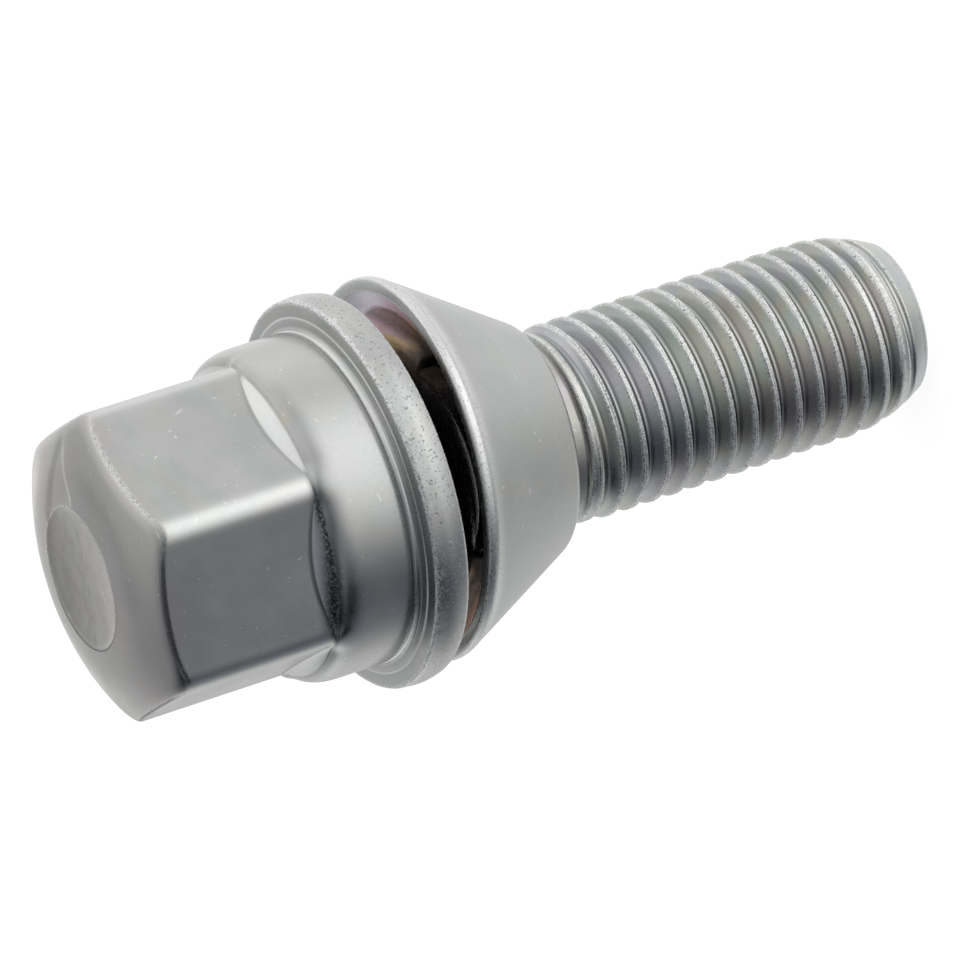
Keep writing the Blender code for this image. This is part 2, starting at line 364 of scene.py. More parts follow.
thread = {
    "steps": 150,
    "pitch": 1.5 * mm,
    "depth": 0.83 * mm,
    "majorRadius": 6.0 * mm,
    "crestHalf": 0.13 * mm,
    "rootHalf": 0.15 * mm,
    "seamDepth": 0.03 * mm,
    "startAngle": math.radians(60),
    "startHeight": -0.825 * mm,  # middle of the root at the start angle
    "length": 21.95 * mm,
    "runout": 1.85 * mm,
    "bandRadius": 5.85 * mm,
    "endRadius": 4.75 * mm,
    "chamferLength": 4.6 * mm,
    "chamferBulge": 10.5 * mm,
    "fadeLow": 21.0 * mm,        # the groove starts to get shallower here
    "fadeHigh": 24.1 * mm,
    "crestRoughness": 0.03 * mm,
    "seamOpening": 0.07 * mm,    # the crest's seam opens to this depth at the runout
    "seamFrom": 20.6 * mm,
    "seamTo": 22.0 * mm,
}

zRunoutTop = thread["length"] + thread["runout"]
zBand = zRunoutTop - 0.1 * mm
zTip = 0.4 * mm


def chamferRadius(height):
    # the bulged taper at the thread's end
    lower = Vector((thread["endRadius"], 0.2 * mm))
    upper = Vector((thread["majorRadius"], thread["chamferLength"]))
    chord = upper - lower
    across = Vector((-chord.y, chord.x)).normalized()
    reach = math.sqrt(thread["chamferBulge"] ** 2 - (chord.length / 2) ** 2)
    centre = (upper + lower) / 2 + across * reach
    if height > upper.y:
        return thread["majorRadius"] + (height - upper.y)
    return centre.x + math.sqrt(thread["chamferBulge"] ** 2 - (height - centre.y) ** 2)


def threadProfile():
    # one pitch from root to root: (offset from the crest, radius), upwards
    pitch, depth = thread["pitch"], thread["depth"]
    major, root = thread["majorRadius"], thread["majorRadius"] - depth
    flankStart = pitch / 2 - thread["rootHalf"]
    crest = thread["crestHalf"]
    points = [(-pitch / 2, root), (-flankStart - 0.02 * mm, root + 0.01 * mm)]
    for share in (0.07, 0.18, 0.36, 0.56, 0.76, 0.9):
        points.append((-flankStart + (flankStart - crest) * share, root + depth * share))
    points += [
        (-crest, major - 0.03 * mm),
        (-crest * 0.7, major),
        (-crest * 0.35, major - 0.4 * thread["seamDepth"]),
    ]
    half = [(-offset, radius) for offset, radius in reversed(points)]
    return points + [(0.0, major - thread["seamDepth"])] + half


def blankRadius(height):
    # the rod that the thread is rolled on: full, then a band under the head, then the shank
    full, band, shank = thread["majorRadius"], thread["bandRadius"], head["shankRadius"]
    radius = full + (band - full) * smoothStep(thread["length"], thread["length"] + 0.9 * mm, height)
    radius += 0.02 * mm * math.exp(-((height - thread["length"] - 1.1 * mm) / (0.06 * mm)) ** 2)
    return radius + (shank - band) * smoothStep(zBand - 0.3 * mm, zBand + 0.05 * mm, height)


def fromCrest(height, angle):
    # how far along the bolt the nearest crest line is
    turn = (angle - thread["startAngle"]) / (2 * math.pi)
    line = thread["startHeight"] + thread["pitch"] * (turn + 0.5)
    half = thread["pitch"] / 2
    return (height - line + half) % thread["pitch"] - half


def shapeThread(vert):
    radius, angle = polar(vert.co)
    height = vert.co.z
    blank = blankRadius(height)
    fade = smoothStep(thread["fadeLow"], thread["fadeHigh"], height)
    radius += (blank - radius) * fade
    # the crest is rough where the rolled metal met, and opens into two ridges at the runout
    across = fromCrest(height, angle)
    onCrest = math.exp(-(across / (0.14 * mm)) ** 2)
    seam = thread["seamOpening"] * (1 - fade) * smoothStep(thread["seamFrom"], thread["seamTo"], height)
    radius -= seam * math.exp(-(across / (0.055 * mm)) ** 2)
    tremor = noise.noise(vert.co / (0.33 * mm)) + 0.6 * noise.noise(vert.co / (0.9 * mm))
    radius += thread["crestRoughness"] * tremor * onCrest
    radius = softMin(radius, blank, 0.05 * mm)
    radius = softMin(radius, chamferRadius(height), 0.08 * mm)
    place(vert, radius, angle, height)


def boundaryLoop(form, low):
    heights = [edge.verts[0].co.z for edge in form.edges if edge.is_boundary]
    level = min(heights) if low else max(heights)
    return [
        edge for edge in form.edges
        if edge.is_boundary and abs(edge.verts[0].co.z - level) < 0.05 * mm
    ]


def makeThread(form):
    pitch, steps = thread["pitch"], thread["steps"]
    profile = threadProfile()
    start = thread["startHeight"] - pitch
    turns = math.ceil((zRunoutTop - start) / pitch)
    line = newLine(form, [(radius, start + pitch / 2 + offset) for offset, radius in profile])
    bmesh.ops.rotate(
        form, verts=line, cent=(0, 0, 0), matrix=Matrix.Rotation(thread["startAngle"], 3, "Z")
    )
    bmesh.ops.spin(
        form,
        geom=form.verts[:] + form.edges[:],
        cent=(0, 0, 0),
        axis=(0, 0, 1),
        dvec=(0, 0, pitch / steps),
        angle=2 * math.pi,
        steps=steps,
        use_merge=False,
        use_duplicate=False,
    )
    oneTurn = form.verts[:] + form.edges[:] + form.faces[:]
    for turn in range(1, turns):
        copied = bmesh.ops.duplicate(form, geom=oneTurn)["geom"]
        moved = [part for part in copied if isinstance(part, bmesh.types.BMVert)]
        bmesh.ops.translate(form, verts=moved, vec=(0, 0, pitch * turn))
    bmesh.ops.remove_doubles(form, verts=form.verts[:], dist=0.002 * mm)
    for vert in form.verts:
        shapeThread(vert)
    for height, normal in ((zTip, -1), (zBand, 1)):
        bmesh.ops.bisect_plane(
            form,
            geom=form.verts[:] + form.edges[:] + form.faces[:],
            dist=0.001 * mm,
            plane_co=(0, 0, height),
            plane_no=(0, 0, normal),
            clear_outer=True,
        )
    # the rounded end and its flat face
    loop = boundaryLoop(form, True)
    for radius, height in (
        (thread["endRadius"] + 0.02 * mm, 0.22 * mm),
        (thread["endRadius"] - 0.03 * mm, 0.1 * mm),
        (thread["endRadius"] - 0.12 * mm, 0.02 * mm),
        (thread["endRadius"] - 0.25 * mm, 0.0),
        (thread["endRadius"] - 1.2 * mm, 0.0),
    ):
        grown = bmesh.ops.extrude_edge_only(form, edges=loop)["geom"]
        for vert in grown:
            if isinstance(vert, bmesh.types.BMVert):
                place(vert, radius, polar(vert.co)[1], height)
        loop = [edge for edge in grown if isinstance(edge, bmesh.types.BMEdge)]
        loop = [edge for edge in loop if edge.is_boundary]
    bmesh.ops.holes_fill(form, edges=loop, sides=0)


def makeHead():
    # a plain tube of numbered rings is turned first, then each ring is put in its place
    spots = headSpots()
    edgeNumber = len(crownShares()) - 1
    form = bmesh.new()
    newLine(form, [(1.0, ring) for ring in range(len(spots))])
    bmesh.ops.spin(
        form,
        geom=form.verts[:] + form.edges[:],
        cent=(0, 0, 0),
        axis=(0, 0, 1),
        angle=2 * math.pi,
        steps=head["steps"],
        use_merge=True,
        use_duplicate=False,
    )
    edgeRing = set()
    for vert in form.verts:
        ring, angle = round(vert.co.z), polar(vert.co)[1]
        angle -= head["cornerCrowding"] / 6 * math.sin(6 * (angle - math.pi / 2))
        radius, height = spots[ring](angle)
        place(vert, radius, angle, height)
        if ring == edgeNumber:
            edgeRing.add(vert)
    form.normal_update()
    bmesh.ops.bevel(
        form,
        geom=[edge for edge in form.edges if edgeRing.issuperset(edge.verts)],
        offset=head["crownEdge"],
        offset_type="OFFSET",
        segments=3,
        profile=0.5,
        affect="EDGES",
        material=-1,
    )
    bmesh.ops.remove_doubles(form, verts=form.verts[:], dist=0.002 * mm)
    return form


polishAndHighlight = {                       # how bright the rubbed places and the painted highlights are, from 0 to 1
    "bead": 0.65,                # painted highlight on the bead at the collar's foot and on the step on the flange's face
    "flange": 0.1,
    "collar": 0.13,
    # painted highlight, a pale band along the crown's rim
    "crownRimHighlight": 0.28,
    # rubbed wear and a painted highlight along the hexagon's corners
    "corner": 0.42,
    "cornerWidth": 0.62 * mm,
    # painted highlight on the scoops
    "scoop": 0.25,
    "nearScoopHighlight": 0.5,            # painted highlight, this much more where a scoop lies nearer to the Y axis
    "thread": 0.1,
    "threadEnd": 0.22,           # more than the thread
    "washerRim": 0.45,
}


def burnishAndHighlightAt(radius, angle, height):
    # where the bolt above its seat is rubbed brighter or given a painted highlight, and by how much
    x, y = radius * math.cos(angle), radius * math.sin(angle)
    inside = hexRadius(angle) - radius
    if height < zFlange + 0.5 * mm:
        # painted highlight on the bead at the collar's foot and on the fine step on the flange's face
        foot = radius - head["collarRadius"]
        bead = smoothStep(0.1 * mm, 0.16 * mm, height - zFlange) * smoothStep(-0.06 * mm, 0.0, foot)
        bead *= smoothStep(0.40 * mm, 0.36 * mm, height - zFlange)
        step = math.exp(-((foot - 0.68 * mm) / (0.05 * mm)) ** 2)
        return polishAndHighlight["bead"] * max(bead, step) if radius < 11.0 * mm else polishAndHighlight["flange"]
    if radius > 9.7 * mm or height < zShoulder - 0.2 * mm:
        return polishAndHighlight["collar"]
    # painted highlight: a pale band along the crown's rim, on the near side and on the far side
    if height > crownHeight(radius, angle) - 0.05 * mm:
        near = smoothStep(0.9 * mm, 0.4 * mm, inside) * smoothStep(-1.5 * mm, 1.0 * mm, x)
        far = smoothStep(0.8 * mm, 3.0 * mm, y) * smoothStep(6.3 * mm, 7.2 * mm, radius)
        return polishAndHighlight["crownRimHighlight"] * max(near, far)
    # rubbed wear and a painted highlight along the hexagon's corners
    if height > flatFoot(angle) - 0.02 * mm:
        corner = radius * (math.pi / 6 - abs(hexTurn(angle)))
        return polishAndHighlight["corner"] * math.exp(-(corner / polishAndHighlight["cornerWidth"]) ** 2)
    # painted highlight on the scoops, stronger on those nearer the Y axis
    across = smoothStep(1.0, 0.9, abs(hexTurn(angle)) / head["scoopHalf"])
    outer = scoopEnd(angle)[0]
    across *= polishAndHighlight["scoop"] + polishAndHighlight["nearScoopHighlight"] * smoothStep(8.6 * mm, 7.8 * mm, abs(x))
    return across * smoothStep(outer + 0.02 * mm, outer - 0.08 * mm, radius)


def roughenHead(form):
    # the forged dish is pitted and the flange's edge nicked; marks for the material, among them painted
    # highlights and painted shade by the scoops and in the collar's groove
    forged = form.verts.layers.float.new("forged")
    battered = form.verts.layers.float.new("battered")
    creaseShadeMark = form.verts.layers.float.new("creaseShade")
    sheltered = form.verts.layers.float.new("sheltered")
    chipped = form.verts.layers.float.new("chipped")
    burnishAndHighlight = form.verts.layers.float.new("burnishAndHighlight")
    rim = head["flangeRadius"]
    for vert in form.verts:
        radius, angle = polar(vert.co)
        height = vert.co.z
        vert[burnishAndHighlight] = burnishAndHighlightAt(radius, angle, height)
        if height > zCrown - 3.5 * mm:
            inDish = smoothStep(head["dishRadius"] + 0.1 * mm, head["dishRadius"] - 0.5 * mm, radius)
            vert[forged] = inDish
            pits = noise.noise(vert.co / (0.9 * mm)) + 0.5 * noise.noise(vert.co / (0.4 * mm))
            calm = inDish * smoothStep(0.3 * mm, 1.2 * mm, radius)
            vert.co.z -= 0.02 * mm * calm * max(0.0, pits + 0.1)
        # painted shade along each scoop's outer border, on the near side
        if abs(height - zShoulder) < 1.0 * mm and radius < 9.9 * mm:
            outer, low = scoopEnd(angle)
            away = math.hypot(radius - outer + 0.08 * mm, height - low - 0.05 * mm)
            spread = (0.32 + 0.35 * smoothStep(-2.5 * mm, -7.0 * mm, vert.co.x)) * mm
            nearSide = smoothStep(0.2 * mm, -1.2 * mm, vert.co.x)
            nearSide *= smoothStep(-8.4 * mm, -7.4 * mm, vert.co.x)
            vert[creaseShadeMark] = math.exp(-(away / spread) ** 2) * nearSide
            vert[sheltered] = smoothStep(0.9, 1.0, abs(hexTurn(angle)) / head["scoopHalf"])
        if height < zFlange + 0.7 * mm and height > zFlange - 0.3 * mm:
            vert[sheltered] = smoothStep(11.3 * mm, 11.1 * mm, radius)
            # painted shade in the groove at the collar's foot
            away = math.hypot(radius - head["collarRadius"] + 0.12 * mm, height - zFlange - 0.43 * mm)
            vert[creaseShadeMark] = 0.6 * math.exp(-(away / (0.06 * mm)) ** 2)
        vert[battered] = smoothStep(11.2 * mm, 11.5 * mm, radius)
        away = math.hypot(radius - rim + 0.15 * mm, height - zFlange + 0.14 * mm)
        vert[chipped] = math.exp(-(away / (0.15 * mm)) ** 2)
        nearRim = math.exp(-((radius - rim + 0.18 * mm) / (0.2 * mm)) ** 2)
        nearRim *= smoothStep(zFlangeRear + 1.0 * mm, zFlange - 0.3 * mm, height)
        if nearRim > 0.01:
            nick = noise.noise(vert.co / (0.5 * mm)) + 0.5 * noise.noise(vert.co / (1.6 * mm))
            place(vert, radius - 0.05 * mm * nearRim * max(0.0, nick), angle, height)


def markCrests(form):
    # the thread's crests and its end are bare and bright
    chipped = form.verts.layers.float.get("chipped")
    burnishAndHighlight = form.verts.layers.float.get("burnishAndHighlight")
    for vert in form.verts:
        radius, angle = polar(vert.co)
        if vert.co.z < zBand:
            nearEnd = smoothStep(3.0 * mm, 1.6 * mm, vert.co.z)
            vert[burnishAndHighlight] = polishAndHighlight["thread"] + polishAndHighlight["threadEnd"] * nearEnd
        if vert.co.z < zBand and radius > 5.3 * mm:
            across = fromCrest(vert.co.z, angle)
            fade = smoothStep(21.8 * mm, 23.2 * mm, vert.co.z)
            vert[chipped] = (1 - 0.6 * fade) * math.exp(-(across / (0.15 * mm)) ** 4)


def makeBolt(material):
    form = makeHead()
    roughenHead(form)
    print("head turned and pressed to its hexagon")
    threadForm = bmesh.new()
    makeThread(threadForm)
    threadMesh = bpy.data.meshes.new("threadStretch")
    threadForm.to_mesh(threadMesh)
    threadForm.free()
    upper = boundaryLoop(form, True)
    form.from_mesh(threadMesh)
    bpy.data.meshes.remove(threadMesh)
    lower = [edge for edge in form.edges if edge.is_boundary and edge not in set(upper)]
    bmesh.ops.bridge_loops(form, edges=upper + lower)
    markCrests(form)
    print("thread rolled and joined to the shank")
    finishPiece(form, "bolt_forged", material, "bolt", "bolt")


# the loose cone washer

washer = {
    "steps": 216,
    "rimRadius": 11.43 * mm,
    "rimWidth": 0.9 * mm,
    "edge": 0.2 * mm,
    "length": 8.3 * mm,
    "coneAngle": math.radians(30),
    "noseRadius": 0.4 * mm,
    "boreRadius": 5.85 * mm,
    "mouthChamfer": 0.3 * mm,
    "leadRadius": 10.7 * mm,     # the recess opens out to this at the rear face
    "recessRadius": 12.1 * mm,
    "float": 1.9 * mm,
    "tilt": math.radians(3.75),
    "tiltTowards": math.radians(-95.8),
    "sidePlay": 0.1 * mm,
}


def washerPoints():
    # the closed section, with the middle of the bore at height 0, and that middle's place
    rim, bore, recess = washer["rimRadius"], washer["boreRadius"], washer["recessRadius"]
    zRear = zFlangeRear - washer["float"]
    zSeat = zFlangeRear + math.sqrt(head["seatRadius"] ** 2 - head["mouthRadius"] ** 2)
    zRecess = zSeat - washer["float"]
    zNose = zRear - washer["length"]
    zCone = zRear - washer["rimWidth"]
    zBore = zRecess - math.sqrt(recess ** 2 - bore ** 2)
    middle = (zBore + zNose) / 2
    mouth = math.sqrt(recess ** 2 - (zRecess - zRear + 0.6 * mm) ** 2)
    lead = washer["leadRadius"]
    coneTop = rim - washer["edge"]
    drop = zCone - zNose - washer["noseRadius"]
    noseTop = coneTop - drop * math.tan(washer["coneAngle"])
    points = [(lead, zRear), (lead + 0.08 * mm, zRear), (coneTop - 0.12 * mm, zRear)]
    points += curvePoints((coneTop, zRear), (rim, zRear), (rim, zRear - washer["edge"]), 4)
    # the rim runs softly into the cone
    points += curvePoints(
        (rim, zRear - washer["edge"] - 0.22 * mm),
        (rim, zCone + washer["edge"] / math.tan(washer["coneAngle"])),
        (coneTop + 0.04 * mm, zCone + 0.04 * mm / math.tan(washer["coneAngle"])),
        6,
    )
    for i in range(1, 16):
        points.append((coneTop + (noseTop - coneTop) * i / 16, zCone - drop * i / 16))
    points += curvePoints(
        (noseTop, zNose + washer["noseRadius"]),
        (noseTop - 0.2 * mm, zNose),
        (noseTop - 0.5 * mm, zNose),
        5,
    )
    points += curvePoints(
        (bore + washer["mouthChamfer"], zNose),
        (bore + 0.08 * mm, zNose + 0.08 * mm),
        (bore, zNose + washer["mouthChamfer"]),
        3,
    )
    points += [(bore, zNose + (zBore - zNose) * share) for share in (0.4, 0.7, 0.97)]
    start = math.asin(bore / recess)
    end = math.asin(mouth / recess)
    for i in range(1, 15):
        angle = start + (end - start) * i / 14
        points.append((recess * math.sin(angle), zRecess - recess * math.cos(angle)))
    for share in (0.15, 0.5, 0.85, 0.93):
        points.append((mouth + (lead - mouth) * share, zRear - 0.6 * mm * (1 - share)))
    return [(radius, height - middle) for radius, height in points], middle


def recessGap(height, radius):
    # how far inside the recess a point of the washer lies
    zSeat = zFlangeRear + math.sqrt(head["seatRadius"] ** 2 - head["mouthRadius"] ** 2)
    zRecess = zSeat - washer["float"]
    ball = math.hypot(radius, height - zRecess)
    if height > zFlangeRear - washer["float"] - 0.7 * mm:
        return (washer["leadRadius"] + 0.08 * mm - radius) * 2
    return 0.7 * mm - abs(ball - washer["recessRadius"]) if height > zFlangeRear - 6 * mm else 0.0


def makeWasher(material):
    form = bmesh.new()
    points, middle = washerPoints()
    line = newLine(form, points)
    form.edges.new((line[-1], line[0]))
    bmesh.ops.spin(
        form,
        geom=form.verts[:] + form.edges[:],
        cent=(0, 0, 0),
        axis=(0, 0, 1),
        angle=2 * math.pi,
        steps=washer["steps"],
        use_merge=True,
        use_duplicate=False,
    )
    bmesh.ops.remove_doubles(form, verts=form.verts[:], dist=0.002 * mm)
    tintAndShadeMark = form.verts.layers.float.new("heatTintAndShade")
    burnishAndHighlight = form.verts.layers.float.new("burnishAndHighlight")
    battered = form.verts.layers.float.new("battered")
    for vert in form.verts:
        radius = polar(vert.co)[0]
        vert[tintAndShadeMark] = smoothStep(0.1 * mm, 0.6 * mm, recessGap(vert.co.z + middle, radius))
        vert[battered] = 0.7 * smoothStep(11.0 * mm, 11.3 * mm, radius)
        vert[burnishAndHighlight] = polishAndHighlight["washerRim"] * smoothStep(10.9 * mm, 11.25 * mm, radius)
    lean = Vector((math.cos(washer["tiltTowards"]), math.sin(washer["tiltTowards"]), 0))
    aside = Vector((lean.y, -lean.x, 0)) * washer["sidePlay"]
    bmesh.ops.transform(
        form,
        verts=form.verts[:],
        matrix=Matrix.Translation(aside + Vector((0, 0, middle)))
        @ Matrix.Rotation(-washer["tilt"], 4, lean),
    )
    print("cone washer turned and tilted")
    finishPiece(form, "cone_washer_turned", material, "washer", "cone_washer")


# materials

def addNode(tree, kind, inputs=None, **settings):
    made = tree.nodes.new("ShaderNode" + kind)
    for name, value in settings.items():
        setattr(made, name, value)
    for socket, value in (inputs or {}).items():
        if isinstance(value, bpy.types.NodeSocket):
            tree.links.new(value, made.inputs[socket])
        else:
            made.inputs[socket].default_value = value
    return made


def noiseAt(tree, spot, scale, detail=2.0, roughness=0.5, distortion=0.0):
    return addNode(tree, "TexNoise", {
        "Vector": spot,
        "Scale": scale,
        "Detail": detail,
        "Roughness": roughness,
        "Distortion": distortion,
    }).outputs["Fac"]


def ranged(tree, value, low, high, toLow=0.0, toHigh=1.0):
    return addNode(tree, "MapRange", {
        "Value": value,
        "From Min": low,
        "From Max": high,
        "To Min": toLow,
        "To Max": toHigh,
    }, interpolation_type="SMOOTHSTEP").outputs["Result"]


def worked(tree, operation, first, second):
    return addNode(tree, "Math", {0: first, 1: second}, operation=operation).outputs[0]


def mixed(tree, share, first, second, blend="MIX"):
    return addNode(tree, "Mix", {
        "Factor": share,
        6: first,
        7: second,
    }, data_type="RGBA", blend_type=blend).outputs[2]


def bumped(tree, height, distance, strength, below=None):
    inputs = {"Height": height, "Distance": distance, "Strength": strength}
    if below is not None:
        inputs["Normal"] = below
    return addNode(tree, "Bump", inputs).outputs["Normal"]


zinc = {
    "dull": (0.435, 0.443, 0.437, 1),
    "bright": (0.505, 0.51, 0.50, 1),
    # the bare colour of rubbed metal, also used for the painted highlights
    "worn": (0.92, 0.93, 0.92, 1),
    # the dark of pits, chips and grime, also used for the painted shade
    "grimeAndShade": (0.045, 0.045, 0.055, 1),
    "forged": (0.41, 0.39, 0.375, 1),
    "warm": (0.495, 0.46, 0.435, 1),
    "stain": (0.62, 0.45, 0.24, 1),
    "stainSpot": (4.2 * mm, -8.6 * mm, 42.5 * mm),
    "cloudScale": 240,
    "roughness": (0.20, 0.30),
    "film": [                    # the plating's thin coloured film
        (0.0, (0.55, 0.43, 0.49, 1)),
        (0.3, (0.58, 0.54, 0.38, 1)),
        (0.5, (0.40, 0.54, 0.45, 1)),
        (0.7, (0.42, 0.46, 0.58, 1)),
        (1.0, (0.54, 0.42, 0.48, 1)),
    ],
    "crownFilm": 0.12,
    "headFilm": 0.05,
    "threadFilm": 0.22,
    "coneFilm": 0.07,
}

temperAndShade = [                       # the colours inside the washer's recess, towards its top; the near-black stop is painted shade deep in the recess
    (0.0, (0.03, 0.03, 0.035, 1)),
    (0.3, (0.14, 0.085, 0.06, 1)),
    (0.5, (0.60, 0.42, 0.22, 1)),
    (0.72, (0.72, 0.48, 0.56, 1)),
    (1.0, (0.64, 0.60, 0.70, 1)),
]


def colourRamp(tree, value, stops):
    ramp = addNode(tree, "ValToRGB", {"Fac": value})
    elements = ramp.color_ramp.elements
    while len(elements) < len(stops):
        elements.new(0.5)
    for element, (position, shade) in zip(elements, stops):
        element.position, element.color = position, shade
    return ramp.outputs["Color"]


def markOf(tree, name):
    return addNode(tree, "Attribute", attribute_name=name).outputs["Fac"]


def streaks(tree, spot, scale, turn, low, high):
    # short thin ticks: a noise drawn out along one direction
    turned = addNode(
        tree, "Mapping", {"Vector": spot, "Rotation": turn, "Scale": (1.0, 1.0, 6.0)},
        vector_type="TEXTURE",
    )
    return ranged(tree, noiseAt(tree, turned.outputs[0], scale, 1, 0.4), low, high)


def boltTints(tree, spot, colour, thinFilm, dimple):
    # the film is strongest on the thread; the dish is dull, and one stain lies by a scoop
    height = addNode(tree, "SeparateXYZ", {0: spot}).outputs["Z"]
    film = ranged(tree, height, 24 * mm, 30 * mm, zinc["threadFilm"], zinc["headFilm"])
    crown = ranged(tree, height, zCrown - 3 * mm, zCrown - 1.5 * mm, 0.0, zinc["crownFilm"])
    colour = mixed(tree, worked(tree, "ADD", film, crown), colour, thinFilm)
    warm = ranged(tree, height, zCrown - 3 * mm, zCrown - 1.5 * mm, 0.0, 0.45)
    colour = mixed(tree, warm, colour, zinc["warm"])
    mottle = ranged(tree, dimple, 0.4, 0.65, 0.15, 0.7)
    mottle = worked(tree, "MULTIPLY", markOf(tree, "forged"), mottle)
    colour = mixed(tree, mottle, colour, zinc["forged"])
    away = addNode(
        tree, "VectorMath", {0: spot, 1: zinc["stainSpot"]}, operation="DISTANCE"
    ).outputs["Value"]
    return mixed(tree, ranged(tree, away, 0.1 * mm, 0.9 * mm, 0.2, 0.0), colour, zinc["stain"])


def recessTintsAndShade(tree, spot, colour, thinFilm):
    # heat colours inside the recess, from gold and pink at one side to a painted near-black shade across
    # the middle
    colour = mixed(tree, zinc["coneFilm"], colour, thinFilm)
    side = addNode(tree, "SeparateXYZ", {0: spot}).outputs["X"]
    wander = ranged(tree, noiseAt(tree, spot, 500, 3, 0.6), 0.25, 0.75, -0.9 * mm, 0.9 * mm)
    side = worked(tree, "ADD", side, wander)
    top = ranged(tree, side, 3.6 * mm, 10.6 * mm)
    foot = ranged(tree, side, -8.0 * mm, -5.5 * mm, 0.62, 0.0)
    tintAndShade = colourRamp(tree, worked(tree, "MAXIMUM", top, foot), temperAndShade)
    return mixed(tree, worked(tree, "MULTIPLY", markOf(tree, "heatTintAndShade"), 0.95), colour, tintAndShade)


def zincPlate(name, onBolt):
    material = bpy.data.materials.new(name)
    material.use_nodes = True
    tree = material.node_tree
    shader = tree.nodes["Principled BSDF"]
    spot = addNode(tree, "TexCoord").outputs["Object"]
    edge, hollow, battered = markOf(tree, "edge"), markOf(tree, "hollow"), markOf(tree, "battered")

    cloud = noiseAt(tree, spot, zinc["cloudScale"], 4, 0.6)
    grain = noiseAt(tree, spot, 5200, 2)
    dimple = noiseAt(tree, spot, 1100, 3, 0.6)
    speck = noiseAt(tree, spot, 2900, 3, 0.65)
    grit = noiseAt(tree, spot, 6200, 3, 0.65)
    drift = noiseAt(tree, spot, 110, 2, 0.5, 0.8)
    colour = mixed(tree, ranged(tree, cloud, 0.3, 0.7), zinc["dull"], zinc["bright"])
    # rubbed wear and painted highlights, in the bright bare colour
    colour = mixed(tree, markOf(tree, "burnishAndHighlight"), colour, zinc["worn"])
    thinFilm = colourRamp(tree, ranged(tree, drift, 0.3, 0.7), zinc["film"])
    if onBolt:
        colour = boltTints(tree, spot, colour, thinFilm, dimple)
    else:
        colour = recessTintsAndShade(tree, spot, colour, thinFilm)

    # pits, bright ticks, grime and painted shade in the hollows, and wear and nicks along the edges
    pit = ranged(tree, speck, 0.735, 0.775)
    rimPit = worked(tree, "MULTIPLY", battered, ranged(tree, grit, 0.60, 0.66))
    pit = worked(tree, "MAXIMUM", pit, rimPit)
    colour = mixed(tree, worked(tree, "MULTIPLY", pit, 0.5), colour, zinc["grimeAndShade"])
    tick = streaks(tree, spot, 4400, (0.0, 0.64, 0.0), 0.77, 0.81)
    cross = streaks(tree, spot, 3800, (0.0, 1.35, 0.0), 0.755, 0.795)
    tick = worked(tree, "MAXIMUM", tick, cross)
    tick = worked(tree, "MAXIMUM", tick, streaks(tree, spot, 4100, (0.0, -0.55, 0.2), 0.77, 0.81))
    if not onBolt:
        clear = worked(tree, "SUBTRACT", 1.0, markOf(tree, "heatTintAndShade"))
        tick = worked(tree, "MULTIPLY", tick, clear)
    colour = mixed(tree, worked(tree, "MULTIPLY", tick, 0.4), colour, zinc["worn"])
    if onBolt:
        # painted shade: darker in the hollows, on the head mostly on its under side, and on the thread all
        # round
        along = addNode(tree, "SeparateXYZ", {0: spot})
        under = ranged(tree, along.outputs["X"], -1.6 * mm, 0.6 * mm, 0.6, 0.04)
        onThread = ranged(tree, along.outputs["Z"], 24 * mm, 26 * mm, 1.0, 0.0)
        amount = mixed(tree, onThread, under, (0.4, 0.4, 0.4, 1))
        dirtAndShade = worked(tree, "MULTIPLY", hollow, amount)
        low = ranged(tree, along.outputs["X"], -0.9 * mm, 0.3 * mm)
        crown = ranged(tree, along.outputs["Z"], zCrown - 3.5 * mm, zCrown - 3 * mm)
        shade = worked(tree, "MULTIPLY", crown, worked(tree, "SUBTRACT", 1.0, low))
        # painted shade by the scoops and in the collar's groove, broken up by the grit
        creaseShade = ranged(tree, grit, 0.34, 0.56, 0.45, 1.0)
        creaseShade = worked(tree, "MULTIPLY", markOf(tree, "creaseShade"), creaseShade)
        dirtAndShade = worked(tree, "MAXIMUM", dirtAndShade, creaseShade)
        # a painted dark line along the crown's edge on the under side
        line = ranged(tree, edge, 0.3, 0.7, 0.0, 0.75)
        dirtAndShade = worked(tree, "MAXIMUM", dirtAndShade, worked(tree, "MULTIPLY", line, shade))
        # the painted shade also keeps the bright wear off that edge
        bare = worked(tree, "SUBTRACT", 1.0, worked(tree, "MULTIPLY", shade, 0.85))
    else:
        # darker in the washer's hollows, by a random amount
        dirtAndShade = worked(tree, "MULTIPLY", hollow, ranged(tree, dimple, 0.3, 0.6, 0.1, 0.4))
        bare = worked(tree, "SUBTRACT", 0.8, worked(tree, "MULTIPLY", markOf(tree, "heatTintAndShade"), 0.8))
    rub = worked(tree, "MULTIPLY", edge, ranged(tree, grit, 0.42, 0.50, 0.1, 1.0))
    rub = worked(tree, "MULTIPLY", rub, bare)
    bright = ranged(tree, grit, 0.41, 0.48, 0.1, 1.0)
    bright = worked(tree, "MULTIPLY", markOf(tree, "chipped"), bright)
    rub = worked(tree, "MAXIMUM", rub, bright)
    colour = mixed(tree, rub, colour, zinc["worn"])
    chip = worked(tree, "MULTIPLY", edge, ranged(tree, grit, 0.56, 0.61))
    chipShare = worked(tree, "MULTIPLY", chip, 0.7 if onBolt else 0.2)
    colour = mixed(tree, chipShare, colour, zinc["grimeAndShade"])
    colour = mixed(tree, dirtAndShade, colour, zinc["grimeAndShade"])
    tree.links.new(colour, shader.inputs["Base Color"])

